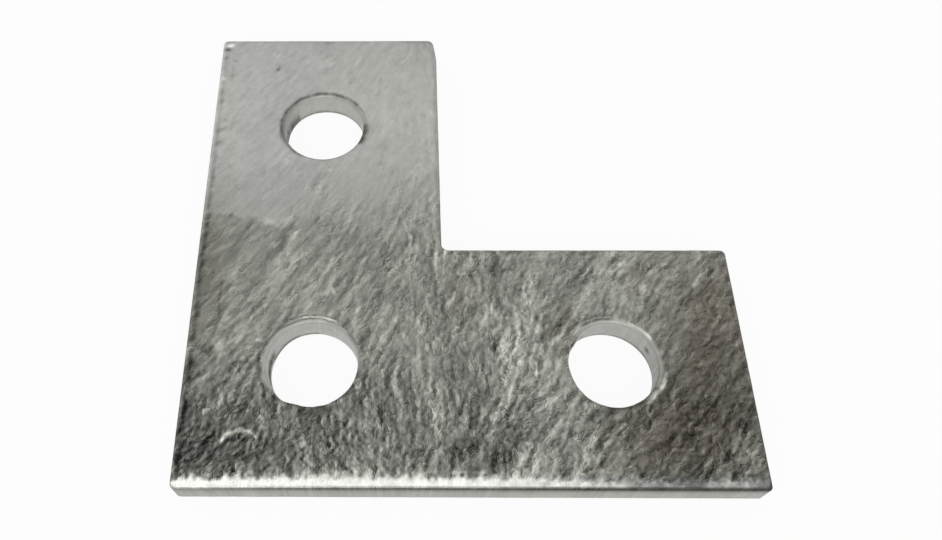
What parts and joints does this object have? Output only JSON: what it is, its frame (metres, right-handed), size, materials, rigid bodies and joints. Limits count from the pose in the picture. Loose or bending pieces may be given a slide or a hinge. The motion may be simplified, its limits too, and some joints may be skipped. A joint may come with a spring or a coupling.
{
  "type": "flat l bracket",
  "caption": "Flat L-shaped galvanised steel plate with round punched holes at its corner and near the end of each arm, for joining channel or rail at a right angle.",
  "frame": {"origin": "on the underside, at the middle of the square that the two arms span", "axes": "+Z out of the rolled upper face, +X along the arm that lies across the picture, +Y along the other arm, and the open inner corner is towards +X and +Y"},
  "size_m": [0.0888, 0.0888, 0.005],
  "materials": {
    "galvanised_steel": "hot-dip galvanised: pale matt grey zinc at one end, darker streaked zinc over the rest"
  },
  "bodies": {
    "root": {"bracket": "galvanised_steel"}
  },
  "joints": []
}
